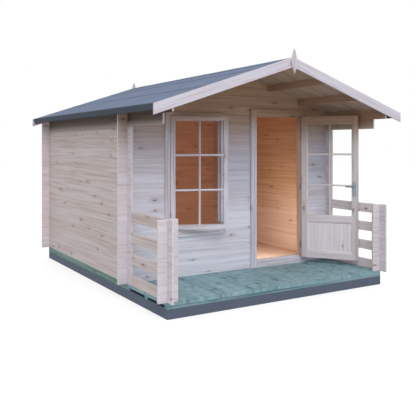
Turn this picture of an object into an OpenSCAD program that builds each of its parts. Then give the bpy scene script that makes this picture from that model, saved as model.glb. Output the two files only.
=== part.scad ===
// Garden log cabin with a veranda, a half-glazed door and a six-pane side-hung window.
// Millimetres, +Z up, front facing -Y, origin at the middle of the footprint on the ground.

/* [Logs] */
// Thickness of a wall log
log_t = 19; // [16:1:45]
// Height that one log course covers
course = 114; // [100:1:140]
// Number of courses in the side walls
side_courses = 17; // [15:1:19]
// Length of the log ends beyond a crossing
log_end = 110; // [60:1:150]
// Bevel on the long edges of a log
log_bevel = 3; // [1:0.5:5]
// Width of the tongue on top of a log
tongue_w = 9; // [6:0.5:12]
// Height of the tongue on top of a log
tongue_h = 8; // [4:0.5:12]
// Clearance between pieces that seat on each other
fit = 0.3; // [0.1:0.05:0.6]

/* [Plan] */
// Width over the outer faces of the side walls
cabin_w = 2890; // [2400:10:3600]
// Depth over the outer faces of the front and back walls
cabin_d = 2845; // [2200:10:4000]
// Depth of the veranda in front of the front wall
veranda_d = 935; // [700:5:1400]
// Distance from the deck's front edge to the front of the veranda posts
post_setback = 0; // [0:1:120]

/* [Base] */
// Height of the plinth
plinth_h = 100; // [60:1:200]
// Width of a plinth beam
plinth_w = 90; // [70:1:150]
// Height of the bearers under the walls
bearer_h = 63; // [50:1:90]
// Width of a bearer
bearer_w = 60; // [40:1:80]
// Thickness of the veranda deck
deck_t = 34; // [18:1:40]
// Thickness of the cabin floor
floor_t = 18; // [15:1:25]
// Number of bearers under the veranda deck
deck_bearers_n = 3; // [3:1:6]
// Number of joists under the cabin floor
joists_n = 6; // [4:1:10]

/* [Rails] */
// Length of the log ends beyond a veranda post's crossing
post_end = 100; // [60:1:150]
// Courses in the veranda rails, every other one left open
rail_courses = 7; // [5:2:9]
// Reach of the top log in front of the front wall
top_log_reach = 1030; // [500:5:1300]
// Reach of the log under the top log in front of the front wall
second_log_reach = 840; // [300:5:1200]

/* [Roof] */
// Pitch of the roof in degrees
pitch = 18.4; // [12:0.1:25]
// Overhang of the eaves beyond the side walls
eave_overhang = 170; // [100:5:300]
// Overhang of the roof in front of the front wall
front_overhang = 1046; // [950:1:1500]
// Overhang of the roof behind the back wall
back_overhang = 120; // [118:1:300]
// Thickness of the roof boards
board_t = 18; // [15:1:25]
// Thickness of the roofing felt
felt_t = 3; // [2:0.5:5]
// Height of the felt-covered eave fascia
fascia_h = 60; // [40:1:90]
// Thickness of the eave fascia
fascia_t = 18; // [12:1:25]
// Upright depth of the bargeboards
barge_h = 105; // [80:1:150]
// Thickness of the bargeboards and finials
barge_t = 18; // [14:1:25]
// Length of the bargeboards beyond the eave fascia
barge_reach = 20; // [5:1:60]
// Height of the bargeboards above the felt
barge_rise = 4; // [0:1:15]
// Height of a finial
finial_h = 262; // [150:2:350]
// Width of a finial
finial_w = 96; // [60:2:140]
// Height of a finial's point above the top of the bargeboards
finial_rise = 84; // [50:2:140]
// Width of a purlin
purlin_w = 40; // [30:1:60]
// Height of a purlin below the roof boards
purlin_h = 70; // [50:1:100]
// Distance of the inner purlins from the ridge
inner_purlin_x = 482; // [350:1:600]
// Distance of the outer purlins from the ridge
outer_purlin_x = 963; // [800:1:1100]

/* [Door] */
// Distance from the right wall's inner face to the middle of the doorway
door_x = 791; // [715:1:970]
// Clear width of the doorway
door_clear_w = 695; // [600:1:760]
// Clear height of the doorway above its threshold
door_clear_h = 1779; // [1650:1:1850]
// Height of the threshold
threshold_h = 87; // [60:1:120]
// Face width of the door frame beside the doorway
door_casing = 98; // [70:1:140]
// Face height of the door frame over the doorway
door_head_h = 89; // [70:1:110]
// Depth of the door frame from front to back
door_frame_d = 90; // [80:1:120]
// Distance that the frames stand proud of the wall in front
frame_proud = 25; // [10:1:40]
// Depth of the groove that takes the log ends
groove_d = 18; // [10:1:22]
// Lap of the door leaf over its stop
door_lap = 10; // [10:1:24]
// Gap between the door leaf and its frame
door_gap = 5; // [5:0.5:8]
// Thickness of the door leaf
leaf_t = 44; // [36:1:50]
// Width of the door stiles
stile_w = 69; // [60:1:110]
// Height of the door's top rail
top_rail_h = 90; // [70:1:120]
// Height of the door's lock rail
lock_rail_h = 72; // [60:1:140]
// Height of the door's bottom rail
bottom_rail_h = 85; // [70:1:160]
// Height of the lower panel between its rails
panel_h = 380; // [300:1:600]
// Thickness of the door's lower panel
panel_t = 18; // [12:1:24]
// Angle at which the door stands open
door_open = 125; // [90:1:129]

/* [Window] */
// Middle of the window across the front
window_x = -588.5; // [-650:0.5:-520]
// Width of the opening that the sash closes
sash_open_w = 681; // [600:1:720]
// Height of the opening that the sash closes
sash_open_h = 1304; // [1100:1:1350]
// Height of the window frame's lower edge above the wall's foot
window_foot = 463; // [380:1:600]
// Face width of the window frame's jambs
window_casing = 60; // [40:1:90]
// Face height of the window frame's head
window_head_h = 38; // [30:1:90]
// Face height of the window frame's sill
window_sill_h = 81; // [50:1:120]
// Depth of the window frame from front to back
window_frame_d = 60; // [50:1:120]
// Lap of the sash over its stop
sash_lap = 10; // [8:1:20]
// Gap between the sash and its frame
sash_gap = 4; // [3:0.5:6]
// Thickness of the sash
sash_t = 40; // [30:1:50]
// Width of the sash stiles and rails
sash_w = 48; // [40:1:80]
// Angle at which the sash stands ajar
sash_ajar = 18; // [0:1:30]
// Thickness of the panes
glass_t = 4; // [3:0.5:8]

/* [Ironmongery] */
// Radius of a hinge pin
pin_r = 3.5; // [2.5:0.1:5]
// Wall of a hinge knuckle
knuckle_wall = 2.5; // [2:0.1:4]
// Running clearance round a hinge pin or spindle
running_fit = 0.06; // [0.03:0.01:0.1]
// Thickness of a hinge leaf
hinge_t = 1.8; // [1.5:0.1:2.2]
// Length of a door hinge
hinge_l = 85; // [60:1:120]
// Length of a window hinge
sash_hinge_l = 60; // [40:1:90]
// Width of a hinge leaf on the wood
hinge_w = 40; // [20:1:40]
// Distance of the end hinges from the leaf's top and bottom
hinge_inset = 152; // [120:1:300]
// Distance of the window hinges from the sash's top and bottom
sash_hinge_inset = 170; // [120:1:300]
// Height of the lever handle above the doorway's threshold
lever_z = 905; // [800:1:1050]
// Distance of the spindle from the leaf's free edge
backset = 45; // [40:1:55]
// Length of the lever
lever_l = 95; // [90:1:140]
// Radius of the lever's round bar
lever_r = 8; // [6:0.5:10]
// Distance of the lever from the face of the leaf
lever_stand = 42; // [35:1:60]
// Width of a handle plate
plate_w = 40; // [34:1:50]
// Height of a handle plate
plate_h = 172; // [160:1:260]
// Thickness of a handle plate
plate_t = 7; // [5:1:10]

/* [Hidden] */
$fn = 48;
pine = "#d8cdc4";
white_pine = "#e4e1ea";
green_pine = "#7f9d99";
slate = "#5c6676";
felt_grey = "#7e8ba3";
iron = "#4a4d55";
steel = "#8f99a8";
pane = "#cfdde4";

// Room to spare where one shape cuts another
over = 1;
half_w = cabin_w / 2;
// Level of the deck, of the floor and of the bearers that carry the walls
deck_z = plinth_h + bearer_h;
// Foot of the walls
foot = deck_z + fit;
slope = tan(pitch);
// Courses of the side walls, with more where the window's head stands above the door's
window_rise = window_foot + window_sill_h + sash_open_h + window_head_h
  - threshold_h - door_clear_h - door_head_h;
wall_courses = side_courses + max(0, ceil(window_rise / course));
eave_z = foot + wall_courses * course;
// Underside of the roof boards at the ridge
ridge_z = eave_z + half_w * slope;
// Roof layers, each seated on the one below
board_seat = fit;
felt_seat = board_seat + board_t / cos(pitch) + fit;
felt_top = felt_seat + felt_t / cos(pitch);
roof_edge = half_w + eave_overhang;
barge_edge = roof_edge + fascia_t * cos(pitch) + barge_reach;
barge_top = ridge_z + felt_top + barge_rise;
// Roof and bargeboards from front to back, measured from the front wall's face
roof_front = -front_overhang;
roof_back = cabin_d + back_overhang;
barge_front = roof_front - fit - barge_t;
barge_back = roof_back + fit;
finial_front = barge_front - fit - barge_t;
finial_back = barge_back + barge_t + fit;
// Place of the front wall's face, with the whole part centred from front to back
wall_y = -(finial_front + finial_back + barge_t) / 2;
// Centre lines of the walls and posts
front_y = log_t / 2;
back_y = cabin_d - log_t / 2;
side_x = half_w - log_t / 2;
post_y = post_setback - veranda_d + log_t / 2;
rail_front = post_y - log_t / 2 - post_end;
log_back = cabin_d + log_end;
log_side = half_w + log_end;
// Courses of the front and back walls sit half a course above those of the side walls
cross_courses = ceil((ridge_z - foot) / course + 0.5);

// Door frame and leaf
frame_front = -frame_proud;
door_mid = half_w - log_t - door_x;
door_left = door_mid - door_clear_w / 2;
door_right = door_mid + door_clear_w / 2;
door_bottom = deck_z + fit + threshold_h;
door_top = door_bottom + door_clear_h;
rebate = door_lap + door_gap;
leaf_left = door_left - door_lap;
leaf_right = door_right + door_lap;
leaf_bottom = door_bottom - door_lap;
leaf_top = door_top + door_lap;
leaf_w = leaf_right - leaf_left;
leaf_h = leaf_top - leaf_bottom;
leaf_back = frame_front + leaf_t;
knuckle_r = pin_r + running_fit + knuckle_wall;
// Door hinge axis, in the gap beside the leaf and just in front of its face
hinge_x = leaf_right + door_gap / 2;
hinge_y = frame_front - knuckle_r - over;
lower_rail_top = leaf_bottom + bottom_rail_h;
lock_rail_z = lower_rail_top + panel_h;
glass_bottom = lock_rail_z + lock_rail_h;
glass_top = leaf_top - top_rail_h;
spindle_x = leaf_left + backset;
spindle_z = door_bottom + lever_z;
hinge_heights = [leaf_bottom + hinge_inset, leaf_bottom + leaf_h / 2, leaf_top - hinge_inset];

// Window frame and sash
sash_left = window_x - sash_open_w / 2 + sash_gap;
sash_right = window_x + sash_open_w / 2 - sash_gap;
window_bottom = foot + window_foot;
sash_bottom = window_bottom + window_sill_h + sash_gap;
sash_top = window_bottom + window_sill_h + sash_open_h - sash_gap;
window_top = window_bottom + window_sill_h + sash_open_h + window_head_h;
window_left = window_x - sash_open_w / 2 - window_casing;
window_right = window_x + sash_open_w / 2 + window_casing;
sash_axis_x = sash_left - sash_gap / 2;
sash_axis_y = frame_front - knuckle_r - over;
sash_hinge_heights = [sash_bottom + sash_hinge_inset, sash_top - sash_hinge_inset];

// Edges at which the logs stop beside and over the door and the window
log_stop = groove_d - fit;
door_cut_left = door_left - door_casing + log_stop;
door_cut_right = door_right + door_casing - log_stop;
door_cut_top = door_top + door_head_h - log_stop;
window_cut_left = window_left + log_stop;
window_cut_right = window_right - log_stop;
window_cut_bottom = window_bottom + log_stop;
window_cut_top = window_top - log_stop;

// Level of the underside of the roof at a distance x from the ridge
function roof_z(x) = ridge_z - abs(x) * slope;

// Put a piece that is measured from the front wall's face in its place
module at_wall() {
  translate([0, wall_y, 0]) children();
}

// A box between two corners
module block(low, high) {
  translate(low) cube(high - low);
}

// Section of a log: bevelled edges, a tongue on top and a groove below
module log_section(height) {
  half = log_t / 2;
  tongue = tongue_w / 2;
  groove = tongue + fit;
  polygon([
    [-groove, 0], [-groove, tongue_h + fit], [groove, tongue_h + fit], [groove, 0],
    [half - log_bevel, 0], [half, log_bevel],
    [half, height - log_bevel], [half - log_bevel, height],
    [tongue, height], [tongue, height + tongue_h], [-tongue, height + tongue_h], [-tongue, height],
    [log_bevel - half, height], [-half, height - log_bevel], [-half, log_bevel], [log_bevel - half, 0]
  ]);
}

// Log along Y between two ends
module log_y(x, y0, y1, z, height = course - fit) {
  translate([x, y1, z]) rotate([90, 0, 0]) linear_extrude(y1 - y0) log_section(height);
}

// Log along X between two ends
module log_x(y, x0, x1, z, height = course - fit) {
  translate([x0, y, z]) rotate([90, 0, 90]) linear_extrude(x1 - x0) log_section(height);
}

// Half-lap cut into a log whose full course starts at z, where another log crosses at x and y
module lap(x, y, z) {
  reach = log_t / 2 + fit;
  block([x - reach, y - reach, z - course], [x + reach, y + reach, z + course / 4 + fit / 2]);
  block([x - reach, y - reach, z + course * 3 / 4 - fit / 2], [x + reach, y + reach, z + 2 * course]);
}

// Space under the roof boards, along the whole roof
module under_roof(gap = 0) {
  reach = barge_edge + over;
  translate([0, roof_back + course, 0]) rotate([90, 0, 0])
    linear_extrude(roof_back - roof_front + 2 * course)
      polygon([[-reach, 0], [reach, 0], [reach, roof_z(reach) - gap],
               [0, ridge_z - gap], [-reach, roof_z(reach) - gap]]);
}

// Foremost end of a side wall's log, by its course
function side_front(k) =
  k == wall_courses - 1 ? -top_log_reach
  : k == wall_courses - 2 ? -second_log_reach
  : k < rail_courses && k % 2 == 0 ? rail_front
  : -log_end;

// Tongue of a rail log where no log sits on it, in front of the front wall's log ends
module bare_tongue(x, k) {
  front = k == rail_courses - 1 ? rail_front - over : post_y + log_t / 2 + post_end + fit;
  top = foot + (k + 1) * course - fit;
  block([x - tongue_w, front, top], [x + tongue_w, -log_end - fit, top + course]);
}

// One log of a side wall, notched where the front wall, the back wall and the post cross it
module side_log(x, k) {
  z = foot + k * course;
  top = k == wall_courses - 1;
  intersection() {
    difference() {
      log_y(x, side_front(k), log_back, z, top ? 2 * course : course - fit);
      lap(x, front_y, z);
      lap(x, back_y, z);
      if (side_front(k) == rail_front) {
        lap(x, post_y, z);
        bare_tongue(x, k);
      }
    }
    under_roof();
  }
}

// Side wall of stacked logs, with the rails and the roof's two carrying logs in one length
module side_wall(x) {
  at_wall() for (k = [0 : wall_courses - 1]) side_log(x, k);
}

// Veranda post: short logs crossing the rail logs and filling the open courses
module post(x) {
  reach = log_t / 2 + post_end;
  at_wall() {
    for (j = [0 : rail_courses]) cross_log(post_y, x - reach, x + reach, j, [x], rail_courses);
    for (k = [1 : 2 : rail_courses - 2]) difference() {
      log_y(x, post_y - reach, post_y + reach, foot + k * course);
      lap(x, post_y, foot + k * course);
    }
  }
}

// Log across the front or back, half a course above the side logs, notched at each x in crossings
module cross_log(y, x0, x1, j, crossings, courses = cross_courses) {
  z = foot + (j - 0.5) * course;
  low = max(z, foot);
  high = min(z + course, foot + courses * course) - fit;
  difference() {
    log_x(y, x0, x1, low, high - low);
    for (x = crossings) lap(x, y, z);
    if (j == courses)
      block([x0 - over, y - log_t, high], [x1 + over, y + log_t, high + course]);
  }
}

// A stretch of cross logs, cut to the roof and to the notches of the purlins
module cross_logs(y, x0, x1, first, last) {
  at_wall() intersection() {
    difference() {
      for (j = [first : last]) cross_log(y, x0, x1, j, [-side_x, side_x]);
      children();
    }
    under_roof();
  }
}

// The five purlins, grown by a clearance where they are used as a cutter
module purlin_bars(gap = 0) {
  for (x = [-outer_purlin_x, -inner_purlin_x, 0, inner_purlin_x, outer_purlin_x]) intersection() {
    low = roof_z(abs(x) + purlin_w / 2) - purlin_h;
    block([x - purlin_w / 2 - gap, roof_front - gap, low - gap],
          [x + purlin_w / 2 + gap, roof_back + gap, ridge_z + course]);
    under_roof(-gap);
  }
}

// Space in the front wall that the door frame takes
module door_cut() {
  block([door_cut_left, -log_t, 0], [door_cut_right, 2 * log_t, door_cut_top]);
}

// Space in the front wall that the window frame takes
module window_cut() {
  block([window_cut_left, -log_t, window_cut_bottom], [window_cut_right, 2 * log_t, window_cut_top]);
}

// First course beside the window above the log that its sill is notched into, and the first over both frames
first_by_window = floor((window_cut_bottom - foot) / course + 0.5) + 1;
last_by_window = ceil((max(window_cut_top, door_cut_top) - foot) / course - 0.5);
// First courses that pass over the window's frame and over the door's frame
over_window = ceil((window_top - foot) / course - 0.5);
over_door = ceil((door_top + door_head_h - foot) / course - 0.5);

// Sloped roof layer on the right, from height a to height b over the boards' underside
module roof_layer(a, b, edge) {
  translate([0, roof_back, 0]) rotate([90, 0, 0]) linear_extrude(roof_back - roof_front)
    polygon([[fit / 2, ridge_z + a], [fit / 2, ridge_z + b],
             [edge + b * sin(pitch) * cos(pitch), roof_z(edge) + b * cos(pitch) ^ 2],
             [edge + a * sin(pitch) * cos(pitch), roof_z(edge) + a * cos(pitch) ^ 2]]);
}

// Eave fascia on the right, square to the slope
module fascia() {
  top = board_seat * cos(pitch) + board_t;
  translate([roof_edge, roof_back, roof_z(roof_edge)]) rotate([90, pitch, 0])
    translate([fit, top - fascia_h, 0]) cube([fascia_t, fascia_h, roof_back - roof_front]);
}

// Pair of bargeboards meeting at the ridge, with upright ends
module bargeboards(y) {
  at_wall() for (side = [0, 1]) mirror([side, 0, 0]) translate([0, y + barge_t, 0]) rotate([90, 0, 0])
    linear_extrude(barge_t)
      polygon([[fit / 2, barge_top], [barge_edge, barge_top - barge_edge * slope],
               [barge_edge, barge_top - barge_edge * slope - barge_h], [fit / 2, barge_top - barge_h]]);
}

// Long diamond-shaped finial over the ridge end
module finial(y) {
  mid = barge_top - barge_h / 2;
  top = barge_top + finial_rise;
  at_wall() translate([0, y + barge_t, 0]) rotate([90, 0, 0]) linear_extrude(barge_t)
    polygon([[0, top], [finial_w / 2, mid], [0, top - finial_h], [-finial_w / 2, mid]]);
}

// Ring of a door or window frame: a through opening, a rebate in front and a groove for the logs
module frame_ring(low, high, clear_low, clear_high, lap_room, front_room, depth) {
  difference() {
    block([low[0], frame_front, low[1]], [high[0], frame_front + depth, high[1]]);
    block([clear_low[0], frame_front - over, clear_low[1]],
          [clear_high[0], frame_front + depth + over, clear_high[1]]);
    block([clear_low[0] - lap_room, frame_front - over, clear_low[1] - lap_room],
          [clear_high[0] + lap_room, frame_front + front_room, clear_high[1] + lap_room]);
    for (side = [[low[0] - over, low[0] + groove_d], [high[0] - groove_d, high[0] + over]])
      block([side[0], -fit, low[1] - over], [side[1], log_t + fit, high[1] + over]);
    block([low[0] - over, -fit, high[1] - groove_d], [high[0] + over, log_t + fit, high[1] + over]);
  }
}

module door_ring() {
  at_wall() frame_ring([door_left - door_casing, deck_z + fit],
                       [door_right + door_casing, door_top + door_head_h],
                       [door_left, door_bottom], [door_right, door_top], rebate, leaf_t + door_gap,
                       door_frame_d);
}

module window_ring() {
  at_wall() difference() {
    frame_ring([window_left, window_bottom], [window_right, window_top],
               [sash_left + sash_lap, sash_bottom + sash_lap], [sash_right - sash_lap, sash_top - sash_lap],
               sash_lap + sash_gap, sash_t + sash_gap, window_frame_d);
    block([window_left - over, -fit, window_bottom - over],
          [window_right + over, log_t + fit, window_bottom + groove_d]);
  }
}

// Everything left of x0, right of x1, or between them
module outside(x0, x1) {
  far = cabin_w;
  block([-far, -far, 0], [x0 - fit / 2, far, 2 * far]);
  block([x1 + fit / 2, -far, 0], [far, far, 2 * far]);
}

module between(x0, x1, z0, z1) {
  far = cabin_w;
  block([x0 + fit / 2, -far, z0], [x1 - fit / 2, far, z1]);
}

// Swing a piece that is drawn closed to where the door stands open
module on_door() {
  at_wall() translate([hinge_x, hinge_y, 0]) rotate([0, 0, door_open]) translate([-hinge_x, -hinge_y, 0])
    children();
}

// Swing a piece that is drawn closed to where the sash stands ajar
module on_sash() {
  at_wall() translate([sash_axis_x, sash_axis_y, 0]) rotate([0, 0, -sash_ajar])
    translate([-sash_axis_x, -sash_axis_y, 0]) children();
}

// Base
module side_plinths() color(slate) at_wall() for (side = [0, 1]) mirror([side, 0, 0])
  block([half_w - plinth_w, -veranda_d, 0], [half_w, cabin_d, plinth_h]);

module end_plinths() color(slate) at_wall() for (y = [-veranda_d, cabin_d - plinth_w])
  block([plinth_w + fit - half_w, y, 0], [half_w - plinth_w - fit, y + plinth_w, plinth_h]);

module wall_bearers() color(green_pine) at_wall() {
  for (side = [0, 1]) mirror([side, 0, 0])
    block([half_w - bearer_w, 0, plinth_h + fit], [half_w, cabin_d, deck_z]);
  for (y = [0, cabin_d - bearer_w])
    block([bearer_w + fit - half_w, y, plinth_h + fit], [half_w - bearer_w - fit, y + bearer_w, deck_z]);
}

module floor_joists() color(green_pine) at_wall() {
  first = bearer_w + fit;
  step = (cabin_d - 2 * first - bearer_w) / (joists_n - 1);
  for (i = [0 : joists_n - 1])
    block([bearer_w + fit - half_w, first + i * step, plinth_h + fit],
          [half_w - bearer_w - fit, first + i * step + bearer_w, deck_z - floor_t - fit]);
}

module cabin_floor() color(pine) at_wall()
  block([bearer_w + fit - half_w, bearer_w + fit, deck_z - floor_t],
        [half_w - bearer_w - fit, cabin_d - bearer_w - fit, deck_z]);

module deck_bearers() color(green_pine) at_wall() {
  step = (veranda_d - bearer_w - fit) / (deck_bearers_n - 1);
  for (i = [0 : deck_bearers_n - 1])
    block([-half_w, i * step - veranda_d, plinth_h + fit],
          [half_w, i * step - veranda_d + bearer_w, deck_z - deck_t - fit]);
}

module veranda_deck() color(green_pine) at_wall()
  block([-half_w, -veranda_d, deck_z - deck_t], [half_w, -fit, deck_z]);

// Walls
module left_wall() color(pine) side_wall(-side_x);

module right_wall() color(pine) side_wall(side_x);

module left_post() color(white_pine) post(-side_x);

module right_post() color(white_pine) post(side_x);

module back_wall() color(pine) cross_logs(back_y, -log_side, log_side, 0, wall_courses - 1) purlin_bars(fit);

module back_gable() color(pine) cross_logs(back_y, -log_side, log_side, wall_courses, cross_courses)
  purlin_bars(fit);

module front_wall_left() color(white_pine)
  cross_logs(front_y, -log_side, window_cut_left, first_by_window, last_by_window - 1) window_cut();

module front_wall_below_window() color(white_pine)
  cross_logs(front_y, -log_side, door_cut_left, 0, first_by_window - 1) window_cut();

module front_wall_middle() color(white_pine)
  cross_logs(front_y, window_cut_right, door_cut_left, first_by_window, last_by_window - 1) window_cut();

module front_wall_right() color(white_pine)
  cross_logs(front_y, door_cut_right, log_side, 0, last_by_window - 1) door_cut();

// Gable, with short logs over the lower of door and window where their heads differ by a course
module front_gable() color(white_pine) {
  cross_logs(front_y, -log_side, log_side, last_by_window, cross_courses) {
    purlin_bars(fit);
    door_cut();
    window_cut();
  }
  if (over_window < last_by_window)
    cross_logs(front_y, window_cut_left + fit, window_cut_right - fit, over_window, last_by_window - 1)
      window_cut();
  if (over_door < last_by_window)
    cross_logs(front_y, door_cut_left + fit, door_cut_right - fit, over_door, last_by_window - 1)
      door_cut();
}

// Roof
module purlins() color(pine) at_wall() purlin_bars();

module left_roof_boards() color(pine) mirror([1, 0, 0]) right_roof_boards();

module right_roof_boards() color(pine) at_wall()
  roof_layer(board_seat, board_seat + board_t / cos(pitch), roof_edge);

module left_roof_felt() color(felt_grey) mirror([1, 0, 0]) right_roof_felt();

module right_roof_felt() color(felt_grey) at_wall()
  roof_layer(felt_seat, felt_top, roof_edge + fascia_t * cos(pitch));

module eave_fascias() color(slate) at_wall() for (side = [0, 1]) mirror([side, 0, 0]) fascia();

module front_bargeboards() color(white_pine) bargeboards(barge_front);

module back_bargeboards() color(white_pine) bargeboards(barge_back);

module finials() color(white_pine) {
  finial(finial_front);
  finial(finial_back);
}

// Door frame
module door_jambs() color(white_pine) intersection() {
  door_ring();
  outside(door_left, door_right);
}

module door_head() color(white_pine) intersection() {
  door_ring();
  between(door_left, door_right, door_top - rebate, door_top + course);
}

module door_threshold() color(white_pine) intersection() {
  door_ring();
  between(door_left, door_right, 0, door_bottom + over);
}

// Window
module window_jambs() color(white_pine) intersection() {
  window_ring();
  outside(sash_left + sash_lap, sash_right - sash_lap);
}

module window_head() color(white_pine) intersection() {
  window_ring();
  between(sash_left + sash_lap, sash_right - sash_lap, sash_top - sash_w, window_top + over);
}

module window_sill() color(white_pine) intersection() {
  window_ring();
  between(sash_left + sash_lap, sash_right - sash_lap, 0, sash_bottom + sash_w);
}

module sash_stiles() color(white_pine) on_sash() for (x = [sash_left, sash_right - sash_w])
  block([x, frame_front, sash_bottom], [x + sash_w, frame_front + sash_t, sash_top]);

module sash_rails() color(white_pine) on_sash() for (z = [sash_bottom, sash_top - sash_w])
  block([sash_left + sash_w + fit, frame_front, z],
        [sash_right - sash_w - fit, frame_front + sash_t, z + sash_w]);

module window_glass() color(pane) on_sash() {
  mid = frame_front + sash_t / 2;
  block([sash_left + sash_w + fit, mid - glass_t / 2, sash_bottom + sash_w + fit],
        [sash_right - sash_w - fit, mid + glass_t / 2, sash_top - sash_w - fit]);
}

// Leaf of a window hinge in the gap beside the sash, from x on
module sash_hinge_leaf(x, z) {
  block([x, sash_axis_y, z], [x + hinge_t, sash_axis_y + knuckle_r + hinge_w, z + sash_hinge_l]);
}

// Knuckle barrel of a window hinge with its two leaves, one on the frame and one on the sash
module window_hinges() color(iron) for (middle = sash_hinge_heights) {
  z = middle - sash_hinge_l / 2;
  at_wall() translate([sash_axis_x, sash_axis_y, z]) cylinder(r = knuckle_r, h = sash_hinge_l);
  at_wall() sash_hinge_leaf(sash_axis_x - sash_gap / 2 + fit, z);
  on_sash() sash_hinge_leaf(sash_axis_x + sash_gap / 2 - fit - hinge_t, z);
}

// Door hinges: two frame knuckles hold the pin and the door's knuckle turns between them
knuckle_l = hinge_l / 3;

module knuckle(z, length) {
  translate([hinge_x, hinge_y, z]) cylinder(r = knuckle_r, h = length);
}

module hinge_leaf(x, z) {
  block([x, hinge_y, z - hinge_l / 2], [x + hinge_t, hinge_y + knuckle_r + hinge_w, z + hinge_l / 2]);
}

module frame_hinge_leaves() color(iron) at_wall() for (z = hinge_heights) {
  difference() {
    hinge_leaf(hinge_x + door_gap / 2 - fit - hinge_t, z);
    translate([0, 0, -fit]) knuckle_room(z - knuckle_l / 2, knuckle_l + 2 * fit);
  }
  for (end = [z - hinge_l / 2, z + knuckle_l / 2 + fit]) knuckle(end, knuckle_l - fit);
  translate([hinge_x, hinge_y, z - hinge_l / 2]) cylinder(r = pin_r, h = hinge_l);
}

module knuckle_room(z, length) {
  translate([hinge_x, hinge_y, z]) cylinder(r = knuckle_r + over, h = length);
}

module door_hinge_leaves() color(iron) on_door() for (z = hinge_heights) difference() {
  union() {
    difference() {
      hinge_leaf(hinge_x - door_gap / 2 + fit, z);
      knuckle_room(z - hinge_l / 2 - over, knuckle_l + over);
      knuckle_room(z + knuckle_l / 2, knuckle_l + over);
    }
    knuckle(z - knuckle_l / 2, knuckle_l);
  }
  translate([hinge_x, hinge_y, z - hinge_l]) cylinder(r = pin_r + running_fit, h = 2 * hinge_l);
}

// Door leaf
module spindle_bore(r) {
  translate([spindle_x, leaf_back + lever_stand * 2, spindle_z]) rotate([90, 0, 0])
    cylinder(r = r, h = leaf_t + 4 * lever_stand);
}

module door_stiles() color(white_pine) on_door() difference() {
  for (x = [leaf_left, leaf_right - stile_w])
    block([x, frame_front, leaf_bottom], [x + stile_w, leaf_back, leaf_top]);
  spindle_bore(lever_r + running_fit);
}

module door_rails() color(white_pine) on_door()
  for (rail = [[leaf_bottom, bottom_rail_h], [lock_rail_z, lock_rail_h], [glass_top, top_rail_h]])
    block([leaf_left + stile_w + fit, frame_front, rail[0]],
          [leaf_right - stile_w - fit, leaf_back, rail[0] + rail[1]]);

module door_sheet(thickness, low, high) {
  mid = frame_front + leaf_t / 2;
  block([leaf_left + stile_w + fit, mid - thickness / 2, low + fit],
        [leaf_right - stile_w - fit, mid + thickness / 2, high - fit]);
}

module door_panel() color(white_pine) on_door() door_sheet(panel_t, lower_rail_top, lock_rail_z);

module door_glass() color(pane) on_door() door_sheet(glass_t, glass_bottom, glass_top);

module handle_plates() color(steel) on_door() difference() {
  for (y = [frame_front - fit - plate_t, leaf_back + fit])
    block([spindle_x - plate_w / 2, y, spindle_z - plate_h * 2 / 3],
          [spindle_x + plate_w / 2, y + plate_t, spindle_z + plate_h / 3]);
  spindle_bore(lever_r + running_fit);
}

// Spindle through the leaf with a lever on each face, pointing to the hinges
module lever_handle() color(steel) on_door() {
  front = frame_front - lever_stand;
  back = leaf_back + lever_stand;
  translate([spindle_x, back, spindle_z]) rotate([90, 0, 0]) cylinder(r = lever_r, h = back - front);
  for (y = [front, back]) translate([spindle_x, y, spindle_z]) {
    rotate([0, 90, 0]) cylinder(r = lever_r, h = lever_l);
    sphere(r = lever_r);
    translate([lever_l, 0, 0]) sphere(r = lever_r);
  }
}

side_plinths();
end_plinths();
wall_bearers();
floor_joists();
cabin_floor();
deck_bearers();
veranda_deck();
left_wall();
right_wall();
left_post();
right_post();
back_wall();
back_gable();
front_wall_left();
front_wall_below_window();
front_wall_middle();
front_wall_right();
front_gable();
purlins();
left_roof_boards();
right_roof_boards();
left_roof_felt();
right_roof_felt();
eave_fascias();
front_bargeboards();
back_bargeboards();
finials();
door_jambs();
door_head();
door_threshold();
window_jambs();
window_head();
window_sill();
sash_stiles();
sash_rails();
window_glass();
window_hinges();
frame_hinge_leaves();
door_stiles();
door_rails();
door_panel();
door_glass();
door_hinge_leaves();
handle_plates();
lever_handle();
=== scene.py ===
"""Dresses the log cabin: boards, felt, glazing bars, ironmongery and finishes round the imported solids."""

import math

import bmesh
import bpy
import numpy as np
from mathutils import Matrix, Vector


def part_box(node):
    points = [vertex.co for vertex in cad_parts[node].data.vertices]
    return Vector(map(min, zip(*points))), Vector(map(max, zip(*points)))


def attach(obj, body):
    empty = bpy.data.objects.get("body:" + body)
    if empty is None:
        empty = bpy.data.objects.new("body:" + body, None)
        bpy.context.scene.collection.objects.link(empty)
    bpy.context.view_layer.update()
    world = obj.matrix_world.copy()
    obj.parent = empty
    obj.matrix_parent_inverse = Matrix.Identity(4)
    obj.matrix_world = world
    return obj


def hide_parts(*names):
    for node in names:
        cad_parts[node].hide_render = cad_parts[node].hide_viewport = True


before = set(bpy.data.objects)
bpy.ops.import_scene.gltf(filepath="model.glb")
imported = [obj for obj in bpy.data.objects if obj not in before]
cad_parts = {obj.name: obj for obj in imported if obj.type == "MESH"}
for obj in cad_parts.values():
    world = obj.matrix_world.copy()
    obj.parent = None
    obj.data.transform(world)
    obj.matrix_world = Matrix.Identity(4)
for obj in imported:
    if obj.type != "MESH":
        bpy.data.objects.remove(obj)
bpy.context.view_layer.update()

bl_info = {
    "name": "Garden log cabin",
    "version": (1, 0, 0),
    "blender": (4, 5, 0),
    "location": "View3D > Sidebar > Cabin",
    "description": "Boards, felt, glazing bars, ironmongery and finishes of a garden log cabin",
    "category": "Object",
}

MM = 0.001
SEED = 11
ACROSS, DEEP, UP = (1, 0, 0), (0, 1, 0), (0, 0, 1)
BOARD_GAP = 0.4 * MM

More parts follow.
